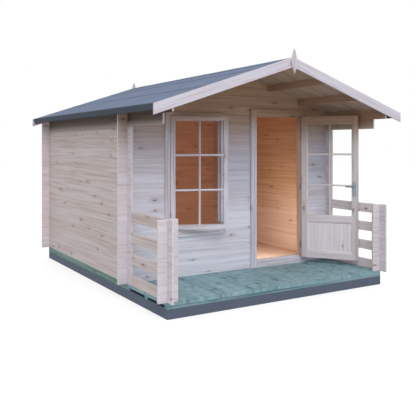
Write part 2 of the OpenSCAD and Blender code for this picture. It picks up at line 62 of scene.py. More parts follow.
# Sizes of the wood's patterns, along the grain and across it. Grain lines are coarser than the real rings,
# so that they show.
KNOT_STEP = (0.26, 0.09)
LINE_SIZE = (0.7, 9 * MM)
STREAK_SIZE = (0.9, 28 * MM)
BLOTCH_SIZE = 70 * MM
RING_SIZE = 22 * MM
# Multiples of a piece's random number that carry it to its own part of each pattern.
KNOT_SHIFT, LINE_SHIFT, STREAK_SHIFT = 37.0, 53.0, 91.0

# What each finish is on, with its light and its dark shade: on wood the pale early wood and the grain lines,
# on paint, felt and metal the paler and the darker patches.
SHADES = {
    "outer": ("side and back walls", "#dbd1d2", "#ae9991"),
    # Painted shade: the eave's shadow on the top of the left wall.
    "eave": ("left wall close under the eave", "#5d4a38", "#43342a"),
    # Painted light: the pale bluish tones of the front wall, the posts and log ends, the window, door and
    # jambs and the bargeboards carry a cool cast of sky light painted over the pale spruce.
    "front": ("front wall, window and door head", "#ebecfa", "#b7aaaf"),
    # Painted shade of the roof on the front wall from the sill up.
    "front_painted_shade": ("front wall from the sill upwards", "#cacce0", "#a39aa2"),
    "post": ("veranda posts and log ends", "#e3dee6", "#bdb1b5"),
    # Painted light: a paler tone on the back log ends.
    "back_end_painted_light": ("log ends at the back", "#f6ecee", "#cfc0c0"),
    # Painted light: a paler tone on the rails' faces towards the veranda.
    "rail": ("rails' faces towards the veranda", "#fbf3f4", "#dacdcb"),
    "sawn": ("sawn faces of the log ends", "#e8dfe2", "#cdbfbe"),
    # Painted shade: a browner tone where the roof shades the wood.
    "shelter": ("wood close under the roof, not bleached", "#bd9d83", "#92735c"),
    "room": ("wood inside the room", "#e0b28b", "#bd865d"),
    # Painted light: a paler tone at the foot of the room's side walls.
    "room_foot": ("room's side walls near the floor", "#efceb6", "#d2a98a"),
    # Painted shade: a darker tone on the room's back wall.
    "room_back_painted_shade": ("room's back wall", "#d99d72", "#b5764b"),
    # Painted shade: a darker green where the walls shade the bearers.
    "bearer": ("treated bearers and joists", "#7ea297", "#456961"),
    "deck_bearer": ("treated bearers under the deck", "#8fadb9", "#3f6573"),
    "deck": ("treated deck boards", "#a0c0c9", "#45707b"),
    "floor": ("floor boards", "#e9c9b2", "#cb9f7e"),
    # Painted shade: a darker brown for the roof boards under the roof.
    "roof_board": ("roof boards", "#b9a593", "#8f7563"),
    # These bluish tones carry the same painted cool cast of sky light.
    "barge": ("bargeboards and finials", "#d6d5e3", "#b29f9f"),
    "stile": ("door's stiles", "#e6e0e6", "#b9abab"),
    "door": ("door's rails and boards", "#f2edf3", "#cbbfc1"),
    "jamb": ("door's jambs", "#e3e4f2", "#aaa4b0"),
    # Painted shade on the jambs deep in the doorway.
    "reveal": ("door's jambs within the wall", "#f2dccd", "#d3b09b"),
    "slate": ("plinth's paint", "#5b6679", "#4d5768"),
    "felt": ("roofing felt", "#6d7b96", "#4b5870"),
    # Painted shade: a darker tone for the felt turned down over the eave.
    "apron": ("felt turned down over the eave", "#48525f", "#3b4450"),
    "deck_nail": ("deck's nails", "#8d9596", "#6a7273"),
    "felt_nail": ("felt's nails", "#7c828c", "#5d636d"),
    "hinge": ("hinges", "#bcc0c6", "#969aa2"),
    "screw": ("hinge screws", "#4e5056", "#37393e"),
    "steel": ("handle and faceplate", "#9aa6b4", "#7c8896"),
    "brass": ("keyholes and latch bolt", "#c79a4e", "#9c7434"),
    "glass": ("panes", "#ffffff", "#fbfdfc"),
}


def linear(code):
    """Linear RGBA of an sRGB hex colour."""
    srgb = np.array([int(code[i:i + 2], 16) for i in (1, 3, 5)]) / 255
    rgb = np.where(srgb <= 0.04045, srgb / 12.92, ((srgb + 0.055) / 1.055) ** 2.4)
    return (*rgb.tolist(), 1.0)


def colour(name, text, code):
    """A colour setting whose default is an sRGB hex value."""
    return bpy.props.FloatVectorProperty(
        name=name, description=text, subtype="COLOR", size=4, min=0, max=1, default=linear(code))


def number(name, text, value, **more):
    """A setting of one number."""
    return bpy.props.FloatProperty(name=name, description=text, default=value, **more)


def length(name, text, value):
    """A length setting in metres."""
    return number(name, text, value, min=0, unit="LENGTH", precision=4)


def angle(name, text, degrees):
    """An angle setting, given in degrees."""
    return number(name, text, math.radians(degrees), subtype="ANGLE")


def lengths(name, text, *values):
    """A setting of several lengths or of a place, in metres."""
    return bpy.props.FloatVectorProperty(
        name=name, description=text, size=len(values), unit="LENGTH", default=values)


class CabinShades(bpy.types.PropertyGroup):
    """Light and dark shade of each finish, and the colours of the knots."""

    __annotations__ = {
        f"{key}_{shade}": colour(f"{key} {shade}".replace("_", " ").capitalize(),
                                 f"{shade.capitalize()} shade of the {what}", code)
        for key, (what, *codes) in SHADES.items() for shade, code in zip(("light", "dark"), codes)}
    __annotations__["knot"] = colour("Knot", "Heart of a knot", "#6b4433")
    __annotations__["bearer_knot"] = colour("Bearer knot", "Heart of a knot in a bearer", "#3b5550")
    __annotations__["deck_knot"] = colour("Deck knot", "Heart of a knot in the deck", "#486069")


class CabinTimber(bpy.types.PropertyGroup):
    """Sizes of the logs and boards, and the heights between which painted shade and painted light change the
    wood's tone.
    """

    course: length("Log course", "Height that one log covers", 114 * MM)
    wall_foot: length("Wall foot", "Height of the lowest log's underside", 163.3 * MM)
    log_depth: length("Log depth", "Thickness of a wall log", 19 * MM)
    log_end: length("Log end", "Length of the log ends beyond a corner", 110 * MM)
    deck_board: length("Deck board", "Width of a veranda board", 120 * MM)
    floor_board: length("Floor board", "Width of a floor board", 95 * MM)
    roof_board: length("Roof board", "Width of a roof board", 90 * MM)
    panel_board: length("Panel board", "Width of a board in the door's lower panel", 91 * MM)
    # These heights bound painted shade under the eaves and the roof and on the front wall from the sill up,
    # and painted light at the foot of the room's side walls.
    left_eave: lengths("Left eave", "Shade under the eave on the left wall", 1.82, 1.96)
    right_eave: lengths("Right eave", "Shelter under the eave on the right wall", 1.76, 1.98)
    back_eave: lengths("Back eave", "Shelter under the roof on the back wall", 1.9, 2.6)
    front_eave: lengths("Front eave", "Shelter under the roof on the front wall", 1.4, 2.15)
    # From these heights up the front wall darkens with painted shade of the roof.
    front_sill: lengths("Front sill", "Where the front wall's bleached foot ends", 0.7, 1.5)
    window_eave: lengths("Window eave", "Shelter under the roof on window and door frame", 1.72, 2.12)
    door_eave: lengths("Door eave", "Shelter under the roof on the door", 1.62, 2.0)
    room_foot: lengths("Room foot", "Where the pale foot of the room's side walls ends", 0.35, 1.3)


class CabinRoof(bpy.types.PropertyGroup):
    """Sizes of the roof covering."""

    pitch: angle("Pitch", "Pitch of the roof", 18.4)
    felt: length("Felt", "Thickness of a felt strip", 3 * MM)
    lap: length("Lap", "Lap of one felt strip over the next", 75 * MM)
    upper_lap: length("Upper lap", "Lower edge of the ridge strip, down the slope", 0.47)
    lower_lap: length("Lower lap", "Lower edge of the middle strip, down the slope", 1.12)
    nail_step: length("Nail step", "Distance between clout nails along a lap", 0.15)
    nail_start: length("Nail start", "Distance of the first nail from the roof's edge", 50 * MM)
    nail_edge: length("Nail edge", "Distance of the nails from the lap's edge", 25 * MM)


class CabinDoor(bpy.types.PropertyGroup):
    """The door leaf as drawn closed, and the angle at which it stands open."""

    hinge: lengths("Hinge", "Hinge axis across and along the cabin", 0.995, -0.99156)
    open: angle("Open", "Angle at which the door stands", 125)
    middle: length("Middle", "Half-way through the leaf's thickness, behind the hinge axis", 29.06 * MM)
    light_low: lengths("Light low", "Lower left corner of the glazed light", 0.3465, 0.7773)
    light_high: lengths("Light high", "Upper right corner of the glazed light", 0.9235, 1.9493)
    panel_low: length("Panel low", "Lower edge of the boarded panel", 0.3253)
    panel_high: length("Panel high", "Upper edge of the boarded panel", 0.7053)
    leaf_depth: length("Leaf depth", "Thickness of the leaf", 44 * MM)
    free_edge: length("Free edge", "Place of the leaf's free edge", 0.2775)
    spindle: lengths("Spindle", "Place of the lever's spindle", 0.3225, 1.1553)
    bar: length("Bar", "Width of a glazing bar", 22 * MM)
    bead: length("Bead", "Width of a bead round the glass", 12 * MM)
    panel_bead: length("Panel bead", "Width of a bead round the panel", 14 * MM)
    pane: length("Pane", "Thickness of the glass", 4 * MM)


class CabinWindow(bpy.types.PropertyGroup):
    """The sash as drawn closed, and the angle at which it stands ajar."""

    hinge: lengths("Hinge", "Hinge axis across and along the cabin", -0.927, -0.99156)
    ajar: angle("Ajar", "Angle at which the sash stands", -18)
    middle: length("Middle", "Half-way through the sash's thickness, behind the hinge axis", 27.06 * MM)
    light_low: lengths("Light low", "Lower left corner of the glazed light", -0.877, 0.7593)
    light_high: lengths("Light high", "Upper right corner of the glazed light", -0.3, 1.9593)
    sash_depth: length("Sash depth", "Thickness of the sash", 40 * MM)
    bar: length("Bar", "Width of a glazing bar", 24 * MM)
    bead: length("Bead", "Width of a bead round the glass", 8 * MM)
    pane: length("Pane", "Thickness of the glass", 4 * MM)


class CabinStage(bpy.types.PropertyGroup):
    """Camera, floor and light."""

    eye: lengths("Eye", "Place of the camera", -4.134, -7.027, 1.667)
    heading: angle("Heading", "Turn of the level camera from straight ahead", -31.5)
    lens: number("Lens", "Focal length", 52.37, unit="CAMERA")
    shift: number("Shift", "Upright shift of the frame, in frame heights", -0.1498)
    ground: colour("Ground", "Pale floor that takes the shadow", "#adadad")
    ground_glow: number("Ground glow", "Strength of the white that the eye sees on the floor", 0.62)
    horizon: number("Horizon", "Strength of the soft light all round, level", 0.38)
    zenith: number("Zenith", "Strength of the soft light all round, overhead", 1.4)
    key: number("Key", "Power of the soft light in front", 620, unit="POWER")
    key_size: length("Key size", "Width of the soft light in front", 8.4)
    key_place: lengths("Key place", "Place of the soft light in front", -3.6, -11.5, 9.2)
    key_aim: lengths("Key aim", "Place at which the soft light in front is aimed", 0.0, -0.6, 1.0)
    room: number("Room", "Power of the soft light in the room", 12, unit="POWER")
    room_size: lengths("Room size", "Width and height of the soft light in the room", 0.7, 0.9)
    room_inset: length("Room inset", "Distance of the room's light behind the floor's front edge", 80 * MM)
    room_height: length("Room height", "Height of the soft light in the room", 0.74)


SETTINGS = {
    "cabin_shades": CabinShades,
    "cabin_timber": CabinTimber,
    "cabin_roof": CabinRoof,
    "cabin_door": CabinDoor,
    "cabin_window": CabinWindow,
    "cabin_stage": CabinStage,
}


def shades(key):
    """Light and dark shade of one finish."""
    group = bpy.context.scene.cabin_shades
    return getattr(group, key + "_light"), getattr(group, key + "_dark")


def corners(node):
    """Lowest and highest corner of a CAD node, as arrays."""
    return [np.array(corner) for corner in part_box(node)]


def middle_of(node):
    """Middle of a CAD node's box."""
    return sum(corners(node)) / 2


def points_at(*coordinates):
    """Rows of points from their coordinates, of which a single number holds for every row."""
    return np.column_stack(np.broadcast_arrays(*coordinates))


def loft(rings, closed=False):
    """Skin over rings[copy, station, point]: each ring is joined to the next one of its copy.

    Quads run between neighbouring stations and points. An open run gets a face at either end,
    and a closed one joins its last ring to its first.
    """
    copies, stations, points, _ = rings.shape
    index = np.arange(copies * stations * points).reshape(copies, stations, points)
    ahead = np.roll(index, -1, axis=1) if closed else index[:, 1:]
    here = index if closed else index[:, :-1]
    quads = np.stack([here, np.roll(here, -1, axis=2), np.roll(ahead, -1, axis=2), ahead], axis=-1)
    faces = quads.reshape(-1, 4).tolist()
    if not closed:
        faces += index[:, 0, ::-1].tolist() + index[:, -1].tolist()
    return rings.reshape(-1, 3), faces


def bars(section, starts, ends, side, up):
    """Rings of straight bars: the section's two coordinates lie along side and up at both ends."""
    flat = section[:, :1] * np.asarray(side) + section[:, 1:] * np.asarray(up)
    runs = np.stack([np.asarray(starts, float), np.asarray(ends, float)], axis=1)
    return runs[:, :, None, :] + flat


def turned(profile, places, axis, side, sides):
    """Rings of turned pieces: each (radius, height) of the profile is a circle round the axis."""
    axis, side = np.asarray(axis, float), np.asarray(side, float)
    turn = np.linspace(0, 2 * np.pi, sides, endpoint=False)
    circle = np.cos(turn)[:, None] * side + np.sin(turn)[:, None] * np.cross(axis, side)
    rings = profile[:, :1, None] * circle + profile[:, 1:, None] * axis
    return np.asarray(places, float)[:, None, None, :] + rings


def swing(points, hinge, turn):
    """Points turned about an upright axis through hinge."""
    cos, sin = math.cos(turn), math.sin(turn)
    matrix = np.array([[cos, sin, 0], [-sin, cos, 0], [0, 0, 1]])
    pivot = np.array([*hinge, 0])
    return (points - pivot) @ matrix + pivot


def add(name, data):
    """Put a new object into the scene."""
    made = bpy.data.objects.new(name, data)
    bpy.context.scene.collection.objects.link(made)
    return made


def piece(name, skins, material, body, replaced=(), closed=False):
    """Make one object of several lofted skins, with a random number for each copy in 'board'."""
    rng = np.random.default_rng(SEED)
    points, faces, board = [], [], []
    for rings in skins:
        skin, sides = loft(rings, closed)
        first = sum(len(part) for part in points)
        points.append(skin)
        faces += [[first + corner for corner in face] for face in sides]
        board.append(np.repeat(rng.random(len(rings)), rings.shape[1] * rings.shape[2]))
    mesh = bpy.data.meshes.new(name)
    mesh.from_pydata(np.concatenate(points).tolist(), [], faces)
    tint = mesh.attributes.new("board", "FLOAT", "POINT")
    tint.data.foreach_set("value", np.concatenate(board))
    shell = bmesh.new()
    shell.from_mesh(mesh)
    bmesh.ops.recalc_face_normals(shell, faces=shell.faces)
    shell.to_mesh(mesh)
    shell.free()
    mesh.shade_flat()
    mesh.update()
    mesh.materials.append(material)
    made = add(name, mesh)
    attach(made, body)
    if replaced:
        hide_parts(*replaced)


def dress(material, *nodes):
    """Give CAD nodes a material."""
    for node in nodes:
        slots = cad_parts[node].data.materials
        slots.clear()
        slots.append(material)


def board_section(width, depth, bevel):
    """Tongued board's outline: a rectangle whose upper and lower long edges are bevelled."""
    half, top = width / 2, depth / 2
    return np.array([
        [-half, bevel - top], [bevel - half, -top], [half - bevel, -top], [half, bevel - top],
        [half, top - bevel], [half - bevel, top], [bevel - half, top], [-half, top - bevel]])


def spread(low, high, width):
    """Middles and the true width of whole boards that fill a stretch side by side."""
    count = max(1, round((high - low) / width))
    step = (high - low) / count
    return low + step * (np.arange(count) + 0.5), step


def flooring(node, width, gap, bevel):
    """Rings of boards that fill a CAD node's box side by side and run from front to back."""
    low, high = corners(node)
    middles, step = spread(low[0], high[0], width)
    starts = points_at(middles, low[1], (low[2] + high[2]) / 2)
    ends = starts + [0, high[1] - low[1], 0]
    return bars(board_section(step - gap, high[2] - low[2], bevel), starts, ends, ACROSS, UP)


def feed(tree, socket, value):
    """Set a shader socket to a value, or link another node's output to it."""
    if isinstance(value, bpy.types.NodeSocket):
        tree.links.new(value, socket)
    else:
        socket.default_value = value


def put(tree, kind, links=(), out=0, **settings):
    """Add one shader node and give one of its outputs, or all of them where out is None.

    kind may end with a word for the node's operation. links are its inputs, in order or by number or name,
    and settings are its other properties.
    """
    kind, *operation = kind.split()
    node = tree.nodes.new("ShaderNode" + kind)
    if operation:
        node.operation = operation[0]
    for key, value in settings.items():
        setattr(node, key, value)
    for key, value in links.items() if isinstance(links, dict) else enumerate(links):
        feed(tree, node.inputs[key], value)
    return node.outputs if out is None else node.outputs[out]


# A Mix node of colours has them at sockets 6 and 7, and gives the mixed one at 2.
COLOURS = {"out": 2, "data_type": "RGBA"}
SMOOTH = {"interpolation_type": "SMOOTHSTEP"}


def surface(name):
    """A new material and its node tree."""
    material = bpy.data.materials.new(name)
    material.use_nodes = True
    return material, material.node_tree


def coat(material, **values):
    """Feed the sockets of the material's Principled shader, named with _ for a space."""
    tree = material.node_tree
    for key, value in values.items():
        feed(tree, tree.nodes["Principled BSDF"].inputs[key.replace("_", " ")], value)
    return material


def position(tree):
    """Sockets of the place on the cabin: across it, from front to back and up."""
    return put(tree, "SeparateXYZ", (put(tree, "TexCoord", out="Object"),), out=None)


def rays(tree, *kinds):
    """1 for light rays of the given kinds."""
    path = put(tree, "LightPath", out=None)
    share = path[kinds[0]]
    for kind in kinds[1:]:
        share = put(tree, "Math MAXIMUM", (share, path[kind]))
    return share


def timber(name, place, tones, knot="knot", knots=0.12, zones=(), ends=None, rough=0.62, streak=1.0,
           vary=0.22, mottle=0.0):
    """Planed softwood: long grain, knots that bend it, broad streaks and a random tone for each piece.

    place gives, as sockets, metres along the grain, metres across it and a random number. Each zone
    has a mask and the finish that holds where it is 1. knots is the share of the places for a knot that
    have one. streak, vary and mottle are the shares of the tone that follow the grain, differ from piece
    to piece and lie in blotches.
    """
    material, tree = surface(name)
    along, across, random = place(tree)
    # Each cell round a place for a knot draws whether it has one, and how large it is.
    moved = put(tree, "Math MULTIPLY", (random, KNOT_SHIFT))
    spot = put(tree, "CombineXYZ", (
        put(tree, "Math MULTIPLY_ADD", (along, 1 / KNOT_STEP[0], moved)),
        put(tree, "Math MULTIPLY", (across, 1 / KNOT_STEP[1]))))
    cell = put(tree, "TexVoronoi", {"Vector": spot, "Scale": 1.0, "Randomness": 0.9}, out=None,
               voronoi_dimensions="2D")
    chance = put(tree, "SeparateColor", (cell["Color"],), out=None)
    present = put(tree, "Math LESS_THAN", (chance[0], knots))
    size = put(tree, "MapRange", {0: chance[1], 3: 0.8, 4: 2.0})
    off = put(tree, "Math DIVIDE", (cell["Distance"], size))
    heart = put(tree, "MapRange", (off, 0.085, 0.02, 0.0, present), **SMOOTH)
    swirl = put(tree, "MapRange", (off, 0.3, 0.05, 0.0, present), **SMOOTH)
    bent = put(tree, "Math MULTIPLY_ADD", (swirl, 12 * MM, across))

    def grain(extent, shift, **noise):
        """Noise drawn out along the grain to the given length and width."""
        point = put(tree, "CombineXYZ", (
            put(tree, "Math MULTIPLY", (along, 1 / extent[0])),
            put(tree, "Math MULTIPLY", (bent, 1 / extent[1])),
            put(tree, "Math MULTIPLY", (random, shift))))
        return put(tree, "TexNoise", {"Vector": point, "Scale": 1.0, **noise})

    lines = grain(LINE_SIZE, LINE_SHIFT, Detail=4.0, Roughness=0.62)
    broad = grain(STREAK_SIZE, STREAK_SHIFT, Detail=3.0)
    tone = put(tree, "Math MULTIPLY_ADD", (
        put(tree, "MapRange", (lines, 0.42, 0.74)), 0.5 * streak,
        put(tree, "MapRange", (broad, 0.42, 0.72, 0.0, 0.6 * streak))))
    if mottle:
        # Blotches where the stain took unevenly.
        blotch = put(tree, "TexNoise", {"Vector": put(tree, "TexCoord", out="Object"),
                                        "Scale": 1 / BLOTCH_SIZE, "Detail": 4.0, "Roughness": 0.65})
        tone = put(tree, "Math MULTIPLY_ADD", (put(tree, "MapRange", (blotch, 0.35, 0.7)), mottle, tone))
    tone = put(tree, "Math MULTIPLY_ADD", (random, vary, tone))
    tone = put(tree, "Math MULTIPLY_ADD", (swirl, 0.3, tone), use_clamp=True)
    light, dark = shades(tones)
    for mask, zone in zones:
        share = mask(tree)
        zone_light, zone_dark = shades(zone)
        light = put(tree, "Mix", {0: share, 6: light, 7: zone_light}, **COLOURS)
        dark = put(tree, "Mix", {0: share, 6: dark, 7: zone_dark}, **COLOURS)
    wood = put(tree, "Mix", {0: tone, 6: light, 7: dark}, **COLOURS)
    if ends:
        sawn, end_tone = ends(tree)
        wood = put(tree, "Mix", {0: sawn, 6: wood, 7: end_tone}, **COLOURS)
    wood = put(tree, "Mix", {0: put(tree, "Math MULTIPLY", (heart, 0.8)), 6: wood,
                             7: getattr(bpy.context.scene.cabin_shades, knot)}, **COLOURS)
    return coat(material, Base_Color=wood,
                Roughness=put(tree, "MapRange", {0: lines, 3: rough - 0.08, 4: rough + 0.14}),
                Normal=put(tree, "Bump", {"Strength": 0.25, "Distance": 1.5 * MM, "Height": lines}))


def along_axis(direction, side, mirrored=False, attribute=False, step=1.0):
    """Grain along direction, measured across along side; the random number comes from the piece's
    own attribute, or from steps across the grain."""
    def place(tree):
        point = put(tree, "TexCoord", out="Object")
        if mirrored:
            point = put(tree, "VectorMath ABSOLUTE", (point,))
        along = put(tree, "VectorMath DOT_PRODUCT", (point, direction), out="Value")
        across = put(tree, "VectorMath DOT_PRODUCT", (point, side), out="Value")
        if attribute:
            return along, across, put(tree, "Attribute", out="Fac", attribute_name="board")
        snapped = put(tree, "Math SNAP", (across, step))
        return along, across, put(tree, "TexWhiteNoise", {"W": snapped}, noise_dimensions="1D")
    return place


def in_side_wall(tree):
    """1 in the planes of the side walls, where the logs run from front to back."""
    x = put(tree, "Math ABSOLUTE", (position(tree)[0],))
    half = bpy.context.scene.cabin_timber.log_depth / 2
    return put(tree, "Math COMPARE", (x, abs(middle_of("left_wall")[0]), half + MM))


def log_place(tree):
    """Grain along each log: front to back in the side walls' planes and across elsewhere, with a
    random number for each log. The front and back logs lie half a course higher."""
    t = bpy.context.scene.cabin_timber
    x, y, z = position(tree)
    sideways = in_side_wall(tree)
    along = put(tree, "Mix", {0: sideways, 2: x, 3: y})
    level = put(tree, "Math SUBTRACT", (z, t.wall_foot))
    level = put(tree, "Math MULTIPLY_ADD", (level, 1 / t.course, 0.5))
    level = put(tree, "Math MULTIPLY_ADD", (sideways, -0.5, level))
    course = put(tree, "Math FLOOR", (level,))
    sign = put(tree, "Math SIGN", (x,))
    stretch = put(tree, "Math MULTIPLY_ADD", (sideways, sign, 2.0))
    log = put(tree, "CombineXYZ", (course, stretch, sideways))
    return along, z, put(tree, "TexWhiteNoise", {"Vector": log}, noise_dimensions="3D")


def bearer_place(tree):
    """Grain along each bearer and joist: front to back under the side walls and across elsewhere, with a
    random number for every 0.3 m across the grain."""
    x, y, z = position(tree)
    low, _ = corners("wall_bearers")
    _, floor = corners("cabin_floor")
    outer = put(tree, "Math GREATER_THAN", (put(tree, "Math ABSOLUTE", (x,)), floor[0]))
    walls = put(tree, "Math GREATER_THAN", (y, low[1]))
    sideways = put(tree, "Math MULTIPLY", (outer, walls))
    along = put(tree, "Mix", {0: sideways, 2: x, 3: y})
    over = put(tree, "Mix", {0: sideways, 2: y, 3: x})
    across = put(tree, "Math ADD", (over, z))
    snapped = put(tree, "Math SNAP", (over, 0.3))
    return along, across, put(tree, "TexWhiteNoise", {"W": snapped}, noise_dimensions="1D")


def above(heights):
    """0 below the lower to 1 above the upper of two heights, which are named as in the timber settings; it
    masks painted shade under the eaves and roof and on the front wall.
    """
    def mask(tree):
        return put(tree, "MapRange", (position(tree)[2], *getattr(bpy.context.scene.cabin_timber, heights)),
                   **SMOOTH)
    return mask


def log_ends(tree):
    """1 on the log ends that stand out beyond the walls' corners and in front of the posts."""
    x, y, _ = position(tree)
    low, high = corners("wall_bearers")
    half = bpy.context.scene.cabin_timber.log_end / 2
    ends = put(tree, "Math GREATER_THAN", (put(tree, "Math ABSOLUTE", (x,)), high[0]))
    for test, *values in (("Math COMPARE", low[1] - half, half), ("Math GREATER_THAN", high[1]),
                          ("Math LESS_THAN", middle_of("left_post")[1])):
        ends = put(tree, "Math MAXIMUM", (ends, put(tree, test, (y, *values))))
    return ends


def inner_faces(tree):
    """1 on the faces of the side logs that are turned to the veranda and the room, where the rails get
    painted light.
    """
    facing = put(tree, "SeparateXYZ", (put(tree, "TexCoord", out="Normal"),))
    inwards = put(tree, "Math MULTIPLY", (position(tree)[0], facing))
    return put(tree, "Math LESS_THAN", (inwards, -1.0))


def in_doorway(tree):
    """1 on the wood behind the front wall's outer face, where the jambs get painted shade."""
    face = corners("front_wall_middle")[0][1]
    return put(tree, "Math GREATER_THAN", (position(tree)[1], face))


def indoors(tree):
    """1 inside the room, between the middles of the four walls."""
    x, y, _ = position(tree)
    front, back = middle_of("front_wall_middle")[1], middle_of("back_wall")[1]
    across = put(tree, "Math COMPARE", (x, 0.0, middle_of("right_wall")[0]))
    deep = put(tree, "Math COMPARE", (y, (front + back) / 2, (back - front) / 2))
    return put(tree, "Math MULTIPLY", (across, deep))


def near_floor(tree):
    """Inside the room, 0 above the upper to 1 below the lower height of its walls' foot: the mask of the
    painted light near the floor.
    """
    low, high = bpy.context.scene.cabin_timber.room_foot
    return put(tree, "MapRange", (position(tree)[2], high, low, 0.0, indoors(tree)), **SMOOTH)


def sawn_ends(tree):
    """Mask and colour of the sawn log ends, with growth rings drawn as soft, bent patches."""
    normal = put(tree, "SeparateXYZ", (put(tree, "TexCoord", out="Normal"),), out=None)
    facing = put(tree, "Mix", {0: in_side_wall(tree), 2: normal[0], 3: normal[1]})
    sawn = put(tree, "Math GREATER_THAN", (put(tree, "Math ABSOLUTE", (facing,)), 0.8))
    ring = put(tree, "TexNoise", {"Vector": put(tree, "TexCoord", out="Object"), "Scale": 1 / RING_SIZE,
                                  "Detail": 3.0, "Distortion": 1.2})
    light, dark = shades("sawn")
    share = put(tree, "MapRange", (ring, 0.4, 0.7))
    return sawn, put(tree, "Mix", {0: share, 6: light, 7: dark}, **COLOURS)


def speckled(name, tones, grain, rough, bump, cloud=0.45):
    """A fine-grained coat: grains of the given size over broad, faint clouds."""
    material, tree = surface(name)
    point = put(tree, "TexCoord", out="Object")
    grains = put(tree, "TexNoise", {"Vector": point, "Scale": 1 / grain, "Detail": 5.0, "Roughness": 0.7})
    clouds = put(tree, "TexNoise", {"Vector": point, "Scale": 1 / cloud, "Detail": 3.0})
    mixed = put(tree, "Math MULTIPLY_ADD", (
        put(tree, "MapRange", (grains, 0.35, 0.65)), 0.7,
        put(tree, "MapRange", (clouds, 0.35, 0.7, 0.0, 0.3))))
    light, dark = shades(tones)
    return coat(material, Roughness=rough,
                Base_Color=put(tree, "Mix", {0: mixed, 6: light, 7: dark}, **COLOURS),
                Normal=put(tree, "Bump", {"Strength": bump, "Distance": grain / 4, "Height": grains}))


def metal(name, tones, rough, bare=1.0, patch=4 * MM):
    """A metal whose polish and tone vary a little from patch to patch; bare is the share of it that no
    coat dulls."""
    material, tree = surface(name)
    wear = put(tree, "TexNoise", {"Vector": put(tree, "TexCoord", out="Object"), "Scale": 1 / patch,
                                  "Detail": 3.0})
    light, dark = shades(tones)
    return coat(material, Metallic=bare,
                Base_Color=put(tree, "Mix", {0: wear, 6: light, 7: dark}, **COLOURS),
                Roughness=put(tree, "MapRange", {0: wear, 3: rough - 0.08, 4: rough + 0.1}))


def joinery(name, direction, side, tones, shelter="window_eave", zones=(), streak=1.0, vary=0.22, **more):
    """Planed pale spruce with its grain along direction, browner with painted roof shade close under the
    roof.
    """
    if shelter:
        zones = (*zones, (above(shelter), "shelter"))
    return timber(name, along_axis(direction, side, step=0.2, **more), tones, knots=0.1, zones=zones,
                  rough=0.5, streak=streak, vary=vary)


class CABIN_OT_logs(bpy.types.Operator):
    """Finish the log walls, the posts, the gables and the purlins."""

    bl_idname = "cabin.logs"
    bl_label = "Logs"

    def execute(self, context):
        ends, room = (log_ends, "post"), (indoors, "room")
        side_room = (room, (near_floor, "room_foot"))
        front = (ends, (above("front_eave"), "shelter"), room)
        # Planed spruce logs: pale and greying outside, honey-coloured inside, with open knots. The zones add
        # painted shade under the eaves and the roof, on the front wall from the sill up and on the room's
        # back wall, and painted light on the rails' veranda faces, the back log ends and the foot of the
        # room's side walls; the front logs, posts and log ends carry a painted cool cast of sky light.
        for name, tones, streak, zones, nodes in (
                ("spruce_left_log", "outer", 0.8, (ends, (above("left_eave"), "eave"), *side_room),
                 ("left_wall",)),
                ("spruce_right_log", "outer", 0.8,
                 ((inner_faces, "rail"), ends, (above("right_eave"), "shelter"), *side_room),
                 ("right_wall",)),
                ("spruce_back_log", "outer", 0.8,
                 ((log_ends, "back_end_painted_light"), (above("back_eave"), "shelter"), (indoors, "room_back_painted_shade")),
                 ("back_wall", "back_gable")),
                ("spruce_post_log", "post", 0.8, (), ("left_post", "right_post")),
                ("spruce_corner_log", "front", 0.6, front, ("front_wall_left",)),
                ("spruce_front_log", "front", 0.6, ((above("front_sill"), "front_painted_shade"), *front),
                 ("front_wall_below_window", "front_wall_middle", "front_wall_right", "front_gable"))):
            dress(timber(name, log_place, tones, zones=zones, ends=sawn_ends, streak=streak), *nodes)
        # Purlins of the same spruce, one length from front to back, browner with painted roof shade.
        dress(timber("spruce_purlin", along_axis(DEEP, (1, 0, 0.3), step=0.3), "shelter", zones=(room,)),
              "purlins")
        return {"FINISHED"}


class CABIN_OT_base(bpy.types.Operator):
    """Finish the plinth, the bearers and the joists."""

    bl_idname = "cabin.base"
    bl_label = "Base"

    def execute(self, context):
        # Slate grey paint on sawn timber, with the saw's faint tooth.
        dress(speckled("slate_paint", "slate", 12 * MM, 0.7, 0.2), "side_plinths", "end_plinths")
        # Green treated pine, darker under the walls with painted shade than at the worn deck.
        for name, tones, nodes in (
                ("treated_pine_bearer", "bearer", ("wall_bearers", "floor_joists")),
                ("treated_deck_bearer", "deck_bearer", ("deck_bearers",))):
            dress(timber(name, bearer_place, tones, "bearer_knot", knots=0.2, zones=((indoors, "room"),)),
                  *nodes)
        return {"FINISHED"}


